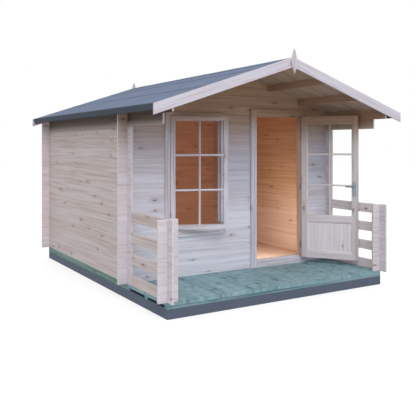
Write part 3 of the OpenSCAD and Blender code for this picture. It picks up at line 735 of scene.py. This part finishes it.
class CABIN_OT_deck(bpy.types.Operator):
    """Lay the veranda's boards from front to back, with gaps between them and two nails at each bearer."""

    bl_idname = "cabin.deck"
    bl_label = "Deck boards"

    gap: length("Gap", "Gap between the deck boards", 3 * MM)
    nail_inset: length("Nail inset", "Distance of the outer nails from the bearers' edges", 30 * MM)

    def execute(self, context):
        width = context.scene.cabin_timber.deck_board
        # Pressure-treated pine: a thin green stain that wears to grey along the grain.
        stain = timber("treated_pine_deck", along_axis(DEEP, ACROSS, attribute=True), "deck", "deck_knot",
                       knots=0.3, streak=0.4, vary=0.14, mottle=0.5)
        boards = flooring("veranda_deck", width, self.gap, 2 * MM)
        piece("deck_boards", [boards], stain, "cabin", ("veranda_deck",))
        low, high = corners("veranda_deck")
        middles, step = spread(low[0], high[0], width)
        front, back = (corner[1] for corner in corners("deck_bearers"))
        rows = np.linspace(front + self.nail_inset, back - self.nail_inset, 3)
        x, y = np.meshgrid(np.concatenate([middles - step / 4, middles + step / 4]), rows)
        head = np.array([[3.2, -2], [3.2, 0.2], [2.4, 0.7], [0.6, 0.8]]) * MM
        nails = turned(head, points_at(x.ravel(), y.ravel(), high[2]), UP, ACROSS, 8)
        # Galvanised nails, weathered to a dull grey.
        zinc = metal("galvanised_nail", "deck_nail", 0.5)
        piece("deck_nails", [nails], zinc, "cabin")
        return {"FINISHED"}


class CABIN_OT_floor(bpy.types.Operator):
    """Lay the room's tongued floor boards from front to back."""

    bl_idname = "cabin.floor"
    bl_label = "Floor boards"

    def execute(self, context):
        boards = flooring("cabin_floor", context.scene.cabin_timber.floor_board, BOARD_GAP, 1.5 * MM)
        # Tongued spruce flooring, unfinished and pinkish pale.
        laid = timber("spruce_floor", along_axis(DEEP, ACROSS, attribute=True), "floor", knots=0.35)
        piece("floor_boards", [boards], laid, "cabin", ("cabin_floor",))
        return {"FINISHED"}


def slope_frame(context, side):
    """Ridge point on the boards' top, the way down the slope and the way out of it, on one side."""
    pitch = context.scene.cabin_roof.pitch
    ridge = np.array([0.0, 0.0, corners("right_roof_boards")[1][2]])
    down = np.array([side * math.cos(pitch), 0.0, -math.sin(pitch)])
    out = np.array([side * math.sin(pitch), 0.0, math.cos(pitch)])
    return ridge, down, out


class CABIN_OT_roof_boards(bpy.types.Operator):
    """Board both roof slopes from ridge to eave, with a bevelled joint between boards."""

    bl_idname = "cabin.roof_boards"
    bl_label = "Roof boards"

    depth: length("Depth", "Thickness of the boards", 18 * MM)
    bevel: length("Bevel", "Bevel of the boards' edges", 2.5 * MM)

    def execute(self, context):
        pitch = context.scene.cabin_roof.pitch
        # Tongued spruce boards, unfinished, honey-coloured inside, darker brown with painted shade outside.
        wood = timber("spruce_roof_board",
                      along_axis(slope_frame(context, 1)[1], DEEP, attribute=True), "roof_board",
                      zones=((indoors, "room"),))
        low, high = corners("right_roof_boards")
        start, stop = self.depth * math.tan(pitch), high[0] / math.cos(pitch)
        middles, step = spread(low[1], high[1], context.scene.cabin_timber.roof_board)
        section = board_section(step - BOARD_GAP, self.depth, self.bevel)
        for name, side in (("left", -1), ("right", 1)):
            ridge, down, out = slope_frame(context, side)
            base = points_at(0.0, middles, 0.0) + ridge - out * self.depth / 2
            boards = bars(section, base + down * start, base + down * stop, DEEP, out)
            piece(f"{name}_roof_boarding", [boards], wood, "cabin",
                  (f"{name}_roof_boards",))
        return {"FINISHED"}


def felt_strip(profile, stretch, ridge, down, out, felt, stations=80):
    """Rings of a felt strip: its mid line (down the slope, out of it) is thickened and carried from
    front to back, and rises and falls by a sum of sines, least at its nailed edges."""
    line = np.asarray(profile, float)
    step = np.gradient(line, axis=0)
    step /= np.linalg.norm(step, axis=1, keepdims=True)
    normal = np.column_stack([-step[:, 1], step[:, 0]])
    ring = np.concatenate([line + normal * felt / 2, (line - normal * felt / 2)[::-1]])
    share = np.linspace(0, 1, len(line))
    share = np.concatenate([share, share[::-1]])
    y = np.linspace(*stretch, stations)[:, None]
    ripple = 0.9 * MM * np.sin(np.pi * share) * (
        np.sin(y * 5.1 + ring[:, 0] * 9) + 0.7 * np.sin(y * 11.7 - ring[:, 0] * 21))
    s, n = ring[None, :, :1], ring[None, :, 1:] + np.abs(ripple)[:, :, None]
    place = ridge + s * down + n * out + y[:, :, None] * np.array(DEEP)
    return place[None]


class CABIN_OT_felt(bpy.types.Operator):
    """Lay the felt in strips that lap down the slope, turn it over the eave, nail the laps and fold a
    strip over the ridge, whose height falls off on either side as a hyperbola."""

    bl_idname = "cabin.felt"
    bl_label = "Roofing felt"

    seat: length("Seat", "Clearance under the felt", 0.4 * MM)
    lift: length("Lift", "Clearance between two strips in a lap", 0.3 * MM)
    step: length("Step", "Length in which a strip rises to lie on the next", 20 * MM)
    bend: length("Bend", "Felt taken up by the bend over the eave", 4 * MM)
    apron: length("Apron", "Reach of the eave's own strip up the slope", 40 * MM)
    turn_down: length("Turn-down", "Felt turned down over the eave", 58 * MM)
    fascia_depth: length("Fascia depth", "Thickness of the eave fascia under the felt", 18 * MM)
    ridge_half: length("Ridge half", "Reach of the ridge strip to either side", 0.13)
    ridge_round: length("Ridge round", "Radius of the ridge strip's fold", 6 * MM)

    def execute(self, context):
        roof = context.scene.cabin_roof
        # Mineral-faced bitumen felt: slate grit about 1.5 mm, drawn at 6 mm so that it shows.
        grit = speckled("mineral_felt", "felt", 6 * MM, 0.92, 0.5)
        # Felt turned down over the eave: the same grit, darker with painted shade.
        shaded_apron_grit = speckled("turned_felt", "apron", 6 * MM, 0.9, 0.4)
        dress(shaded_apron_grit, "eave_fascias")
        # Galvanised clout nails, dulled like the felt round them.
        steel = metal("clout_nail", "felt_nail", 0.5)
        head = np.array([[5, -1.5], [5, 0.8], [4, 1.4], [0.8, 1.6]]) * MM
        low, high = corners("right_roof_boards")
        stretch = (low[1], high[1])
        edge = high[0] / math.cos(roof.pitch) + self.fascia_depth + roof.felt
        flat = self.seat + roof.felt / 2
        rise = flat + roof.felt + self.lift
        lines = []
        for first, last in ((roof.felt, roof.upper_lap), (roof.upper_lap - roof.lap, roof.lower_lap)):
            s = np.concatenate([np.linspace(first, last - roof.lap - self.step, 14),
                                np.linspace(last - roof.lap, last, 5)])
            lines.append(np.column_stack([s, np.repeat([flat, rise], [14, 5])]))
        lines.append(points_at(np.linspace(roof.lower_lap - roof.lap, edge - self.bend, 24), flat))
        apron = np.column_stack([[edge - self.apron, edge - self.bend, edge - MM, edge, edge],
                                 [rise, rise, rise - MM, rise - self.bend - MM, rise - self.turn_down]])
        y = np.arange(low[1] + roof.nail_start, high[1], roof.nail_step)
        for name, side in (("left", -1), ("right", 1)):
            slope = slope_frame(context, side)
            ridge, down, out = slope
            skins = [felt_strip(line, stretch, *slope, roof.felt) for line in lines]
            piece(f"{name}_felt_strips", skins, grit, "cabin", (f"{name}_roof_felt",))
            piece(f"{name}_eave_felt", [felt_strip(apron, stretch, *slope, roof.felt)], shaded_apron_grit, "cabin")
            nails = np.concatenate([
                ridge + (lap - roof.nail_edge) * down + (rise + roof.felt / 2) * out + points_at(0.0, y, 0.0)
                for lap in (roof.upper_lap, roof.lower_lap)])
            piece(f"{name}_felt_nails", [turned(head, nails, out, DEEP, 8)], steel, "cabin")
        x = np.linspace(-self.ridge_half, self.ridge_half, 41)
        fold = rise / math.cos(roof.pitch) - math.tan(roof.pitch) * np.hypot(x, self.ridge_round)
        cap = felt_strip(points_at(x, fold), stretch, ridge, np.array(ACROSS), np.array(UP), roof.felt)
        piece("ridge_felt", [cap], grit, "cabin")
        return {"FINISHED"}


class CABIN_OT_trim(bpy.types.Operator):
    """Finish the bargeboards and finials."""

    bl_idname = "cabin.trim"
    bl_label = "Bargeboards and finials"

    def execute(self, context):
        _, down, out = slope_frame(context, 1)
        # Planed spruce boards, silvered by the weather, with a painted cool cast of sky light.
        dress(joinery("spruce_bargeboard", down, out, "barge", shelter=None, mirrored=True),
              "front_bargeboards", "back_bargeboards")
        dress(joinery("spruce_finial", UP, ACROSS, "barge", shelter=None), "finials")
        return {"FINISHED"}


def bar_section(width, depth):
    """Glazing bar's outline: flat at front and back, with a sloped ovolo to either side."""
    half, nose, deep = width / 2, width / 4, depth / 2
    return np.array([[-half, -deep / 3], [-nose, -deep], [nose, -deep], [half, -deep / 3],
                     [half, deep / 3], [nose, deep], [-nose, deep], [-half, deep / 3]])


def light_frame(low, high, middle, depth, width, pane):
    """Rings of the two beads round a light, mitred at its corners: a quarter round from the edge, a
    little below the frame's face, to the pane of the given thickness, on either face."""
    inset, below, clear = MM, 2 * MM, 0.2 * MM
    tall = (depth - pane) / 2 - below - clear
    arc = np.linspace(0, np.pi / 2, 6)
    bead = np.column_stack([width * np.sin(arc), tall * (1 - np.cos(arc))])
    bead = np.concatenate([[[0, tall]], bead])
    signs = np.array([[-1, -1], [1, -1], [1, 1], [-1, 1]])
    centre, half = (low + high) / 2, (high - low) / 2 - inset
    across = centre[0] + signs[:, :1] * (half[0] - bead[:, 0])
    up = centre[1] + signs[:, 1:] * (half[1] - bead[:, 0])
    deep = depth / 2 - below - bead[:, 1]
    return np.array([np.stack(np.broadcast_arrays(across, middle + face * deep, up), axis=-1)
                     for face in (-1, 1)])


def glazing(low, high, middle, depth, width):
    """Rings of two rows and one upright bar across a light, straddling its pane and 6 mm below the
    frame's faces."""
    section = bar_section(width, depth - 12 * MM)
    centre = (low + high) / 2
    rows = np.linspace(low[1], high[1], 4)[1:-1]
    upright = bars(section, [[centre[0], middle, low[1]]], [[centre[0], middle, high[1]]], ACROSS, DEEP)
    starts = points_at(low[0], middle, rows)
    level = bars(section, starts, starts + [high[0] - low[0], 0, 0], UP, DEEP)
    return upright, level


class CABIN_OT_window(bpy.types.Operator):
    """Finish the window and give its sash glazing bars for six panes, with beads round the light."""

    bl_idname = "cabin.window"
    bl_label = "Window"

    def execute(self, context):
        w = context.scene.cabin_window
        # Planed spruce, bleached like the front wall, with its painted cool cast of sky light and painted
        # roof shade at the top.
        upright = joinery("spruce_upright", UP, (0.9, 0.44, 0), "front")
        level = joinery("spruce_sash_rail", (math.cos(w.ajar), math.sin(w.ajar), 0), UP, "front")
        dress(upright, "window_jambs", "sash_stiles")
        dress(level, "window_head", "window_sill", "sash_rails")
        low, high = np.array(w.light_low), np.array(w.light_high)
        middle = w.hinge[1] + w.middle
        stem, rows = glazing(low, high, middle, w.sash_depth, w.bar)
        beads = light_frame(low, high, middle, w.sash_depth, w.bead, w.pane)
        for name, rings, closed, wood in (("window_bar_upright", stem, False, upright),
                                          ("window_bar_rows", rows, False, level),
                                          ("window_beads", beads, True, level)):
            piece(name, [swing(rings, w.hinge, w.ajar)], wood, "cabin", closed=closed)
        return {"FINISHED"}


class CABIN_OT_door(bpy.types.Operator):
    """Finish the door and its frame, board its lower panel and give its light glazing bars and beads."""

    bl_idname = "cabin.door"
    bl_label = "Door"

    panel_depth: length("Panel depth", "Thickness of the panel's boards", 18 * MM)
    panel_bevel: length("Panel bevel", "Bevel of the panel boards' edges", 1.2 * MM)
    panel_play: length("Panel play", "Play of the panel's boards in their frame", 0.5 * MM)

    def execute(self, context):
        d, play = context.scene.cabin_door, self.panel_play
        aslant = (0.62, -0.78, 0)
        # Planed spruce: palest on the rails and boards, with painted shade on the jambs deep in the doorway
        # and painted roof shade at the top.
        upright = joinery("spruce_door_stile", UP, aslant, "stile", shelter="door_eave")
        level = joinery("spruce_door_rail", (math.cos(d.open), math.sin(d.open), 0), UP, "door",
                        shelter="door_eave")
        boarded = joinery("spruce_door_board", UP, aslant, "door", attribute=True, streak=0.6, vary=0.1)
        dress(upright, "door_stiles")
        dress(level, "door_rails")
        dress(joinery("spruce_jamb", UP, aslant, "jamb", zones=((in_doorway, "reveal"),)), "door_jambs")
        dress(joinery("spruce_door_head", ACROSS, UP, "front"), "door_head", "door_threshold")
        low, high = np.array(d.light_low), np.array(d.light_high)
        middle = d.hinge[1] + d.middle
        stem, rows = glazing(low, high, middle, d.leaf_depth, d.bar)
        beads = light_frame(low, high, middle, d.leaf_depth, d.bead, d.pane)
        middles, step = spread(low[0] + play, high[0] - play, context.scene.cabin_timber.panel_board)
        starts = points_at(middles, middle, d.panel_low + play)
        ends = starts + [0, 0, d.panel_high - d.panel_low - 2 * play]
        boards = bars(board_section(step - BOARD_GAP, self.panel_depth, self.panel_bevel), starts, ends,
                      ACROSS, DEEP)
        panel_beads = light_frame(np.array([low[0], d.panel_low]), np.array([high[0], d.panel_high]),
                                  middle, d.leaf_depth, d.panel_bead, self.panel_depth)
        for name, rings, closed, wood, replaced in (
                ("door_bar_upright", stem, False, upright, ()),
                ("door_bar_rows", rows, False, level, ()),
                ("door_beads", beads, True, level, ()),
                ("door_panel_boards", boards, False, boarded, ("door_panel",)),
                ("door_panel_beads", panel_beads, True, level, ())):
            piece(name, [swing(rings, d.hinge, d.open)], wood, "door", replaced, closed)
        return {"FINISHED"}


class CABIN_OT_glass(bpy.types.Operator):
    """Glaze the door and the window."""

    bl_idname = "cabin.glass"
    bl_label = "Glass"

    patch: length("Patch", "Size of the dusty patches", 90 * MM)

    def execute(self, context):
        # Clear float glass, a little dusty, with an IOR below its usual 1.5 so that it mirrors as little as
        # the real panes. Light that only passes through it on its way to the wood goes straight on.
        material, tree = surface("float_glass")
        dust = put(tree, "TexNoise", {"Vector": put(tree, "TexCoord", out="Object"), "Scale": 1 / self.patch,
                                      "Detail": 4.0})
        clear, dusty = shades("glass")
        coat(material, Transmission_Weight=1.0, IOR=1.2,
             Base_Color=put(tree, "Mix", {0: dust, 6: clear, 7: dusty}, **COLOURS),
             Roughness=put(tree, "MapRange", (dust, 0.4, 0.8, 0.0, 0.03)))
        passing = rays(tree, "Is Shadow Ray", "Is Diffuse Ray")
        glazed = put(tree, "MixShader", (passing, tree.nodes["Principled BSDF"].outputs[0],
                                         put(tree, "BsdfTransparent")))
        feed(tree, tree.nodes["Material Output"].inputs["Surface"], glazed)
        dress(material, "window_glass", "door_glass")
        return {"FINISHED"}


class CABIN_OT_ironmongery(bpy.types.Operator):
    """Finish the hinges and the lever, and add screws, keyholes and the latch with its faceplate."""

    bl_idname = "cabin.ironmongery"
    bl_label = "Ironmongery"

    hinge_length: length("Hinge length", "Length of a door hinge", 85 * MM)
    plate: length("Plate", "Height of the handle plate's face over the leaf", 7.3 * MM)
    keyhole: length("Keyhole", "Drop of the keyhole below the spindle", 70 * MM)
    screws: lengths("Screws", "Heights of the plate's screws over the spindle", 46 * MM, -103 * MM)
    faceplate: lengths("Faceplate", "Ends of the latch's faceplate over the spindle", -110 * MM, 40 * MM)
    bolt: lengths("Bolt", "Ends of the latch bolt over the spindle", -9 * MM, 9 * MM)

    def execute(self, context):
        d = context.scene.cabin_door
        # Zinc-plated hinge steel, dulled by weather.
        dress(metal("zinc_hinge", "hinge", 0.5, bare=0.3),
              "frame_hinge_leaves", "door_hinge_leaves", "window_hinges")
        # Countersunk screws with a dark recess, staggered over each door hinge's leaf on the frame.
        low, high = corners("frame_hinge_leaves")
        middles = np.linspace(low[2] + self.hinge_length / 2, high[2] - self.hinge_length / 2, 3)
        z = middles[:, None] + np.array([-0.35, 0, 0.35]) * self.hinge_length
        y = np.broadcast_to(high[1] - np.array([11, 25, 11]) * MM, z.shape)
        sunk = np.array([[3.6, -0.9], [3.6, 0.1], [2.6, 0.25], [0.6, -0.2]]) * MM
        places = points_at(d.hinge[0] + 0.4 * MM, y.ravel(), z.ravel())
        piece("frame_hinge_screws", [turned(sunk, places, (-1, 0, 0), DEEP, 10)],
              metal("dark_screw", "screw", 0.5), "cabin")
        # Satin steel, brushed fine enough to blur what it mirrors.
        satin = metal("satin_steel", "steel", 0.36)
        dress(satin, "handle_plates", "lever_handle")
        # Turned and drawn brass, a little tarnished.
        brass = metal("brass", "brass", 0.32)
        middle = d.hinge[1] + d.middle
        across, spindle = d.spindle
        keyhole = np.array([[7, -1], [7, 1.2], [6, 1.8], [2.2, 1.9]]) * MM
        screw = np.array([[3.6, -1], [3.6, 0.4], [2.6, 1.2], [0.7, 1.5]]) * MM
        rows = []
        for face, way in (("outer", -1), ("inner", 1)):
            y = middle + way * (d.leaf_depth / 2 + self.plate)
            lock = turned(keyhole, [[across, y, spindle - self.keyhole]], (0, way, 0), ACROSS, 20)
            places = points_at(across, y, spindle + np.array(self.screws))
            screws = turned(screw, places, (0, way, 0), ACROSS, 12)
            rows += [(f"{face}_lock", lock, brass), (f"{face}_plate_screws", screws, satin)]
        for name, ends, out, section, made_of in (
                ("latch_faceplate", self.faceplate, 0.8 * MM, (22 * MM, 1.6 * MM, 0.4 * MM), satin),
                ("latch_bolt", self.bolt, 2.4 * MM, (13 * MM, 4 * MM, 1 * MM), brass)):
            start, stop = ([[d.free_edge - out, middle, spindle + end]] for end in ends)
            rows.append((name, bars(board_section(*section), start, stop, DEEP, ACROSS), made_of))
        for name, rings, made_of in rows:
            piece(name, [swing(rings, d.hinge, d.open)], made_of, "door")
        return {"FINISHED"}


class CABIN_OT_stage(bpy.types.Operator):
    """Set the camera, the pale floor, the white surroundings and the soft light."""

    bl_idname = "cabin.stage"
    bl_label = "Stage"

    reach: length("Reach", "Half the floor's side", 40.0)

    def execute(self, context):
        s, scene, white = context.scene.cabin_stage, context.scene, linear("#ffffff")
        scene.view_settings.view_transform = "Standard"
        eye = bpy.data.cameras.new("eye")
        eye.lens, eye.sensor_width, eye.shift_y = s.lens, 36, s.shift
        scene.camera = add("eye", eye)
        scene.camera.location = s.eye
        scene.camera.rotation_euler = (math.pi / 2, 0, s.heading)
        mesh = bpy.data.meshes.new("floor")
        r = self.reach
        mesh.from_pydata([(-r, -r, 0), (r, -r, 0), (r, r, 0), (-r, r, 0)], [], [(0, 1, 2, 3)])
        floor = add("floor", mesh)
        # A matt pale floor that takes the shadow, and a world that is seen as white.
        seen = ("Is Camera Ray", "Is Transmission Ray", "Is Glossy Ray")
        pale, tree = surface("pale_floor")
        glow = put(tree, "Math MULTIPLY", (rays(tree, *seen), s.ground_glow))
        coat(pale, Base_Color=s.ground, Roughness=0.9, Emission_Color=white, Emission_Strength=glow)
        mesh.materials.append(pale)
        scene.world = bpy.data.worlds.new("studio")
        scene.world.use_nodes = True
        tree = scene.world.node_tree
        height = put(tree, "SeparateXYZ", (put(tree, "TexCoord", out="Generated"),), out="Z")
        sky = put(tree, "MapRange", {0: height, 3: s.horizon, 4: s.zenith})
        back = tree.nodes["Background"].inputs
        feed(tree, back["Color"], white)
        feed(tree, back["Strength"], put(tree, "Mix", {0: rays(tree, *seen), 2: sky, 3: 1.0}))
        key = bpy.data.lights.new("softbox", "AREA")
        key.shape, key.size, key.energy = "DISK", s.key_size, s.key
        softbox = add("softbox", key)
        softbox.location = s.key_place
        aim = np.array(s.key_aim) - np.array(s.key_place)
        softbox.rotation_euler = (math.pi - math.acos(aim[2] / np.linalg.norm(aim)), 0,
                                  math.atan2(aim[1], aim[0]) - math.pi / 2)
        fill = bpy.data.lights.new("room_fill", "AREA")
        fill.shape, fill.energy = "RECTANGLE", s.room
        fill.size, fill.size_y = s.room_size
        room = add("room_fill", fill)
        room.location = (middle_of("door_threshold")[0], corners("cabin_floor")[0][1] + s.room_inset,
                         s.room_height)
        room.rotation_euler = (math.pi / 2, 0, 0)
        room.visible_camera = room.visible_glossy = False
        return {"FINISHED"}


OPERATORS = (CABIN_OT_logs, CABIN_OT_base, CABIN_OT_deck, CABIN_OT_floor, CABIN_OT_roof_boards, CABIN_OT_felt,
             CABIN_OT_trim, CABIN_OT_window, CABIN_OT_door, CABIN_OT_glass, CABIN_OT_ironmongery,
             CABIN_OT_stage)


class CABIN_PT_panel(bpy.types.Panel):
    """Lists the cabin's operators and settings."""

    bl_idname = "CABIN_PT_panel"
    bl_label = "Log cabin"
    bl_space_type = "VIEW_3D"
    bl_region_type = "UI"
    bl_category = "Cabin"

    def draw(self, context):
        for operator in OPERATORS:
            self.layout.operator(operator.bl_idname)
        for name, group in SETTINGS.items():
            box = self.layout.box()
            for key in group.__annotations__:
                box.prop(getattr(context.scene, name), key)


CLASSES = (*SETTINGS.values(), *OPERATORS, CABIN_PT_panel)


def register():
    for made in CLASSES:
        bpy.utils.register_class(made)
    for name, group in SETTINGS.items():
        setattr(bpy.types.Scene, name, bpy.props.PointerProperty(type=group))


def unregister():
    for name in SETTINGS:
        delattr(bpy.types.Scene, name)
    for made in reversed(CLASSES):
        bpy.utils.unregister_class(made)


def main():
    register()
    for operator in OPERATORS:
        getattr(bpy.ops.cabin, operator.bl_idname.split(".")[1])()


if __name__ == "__main__":
    main()
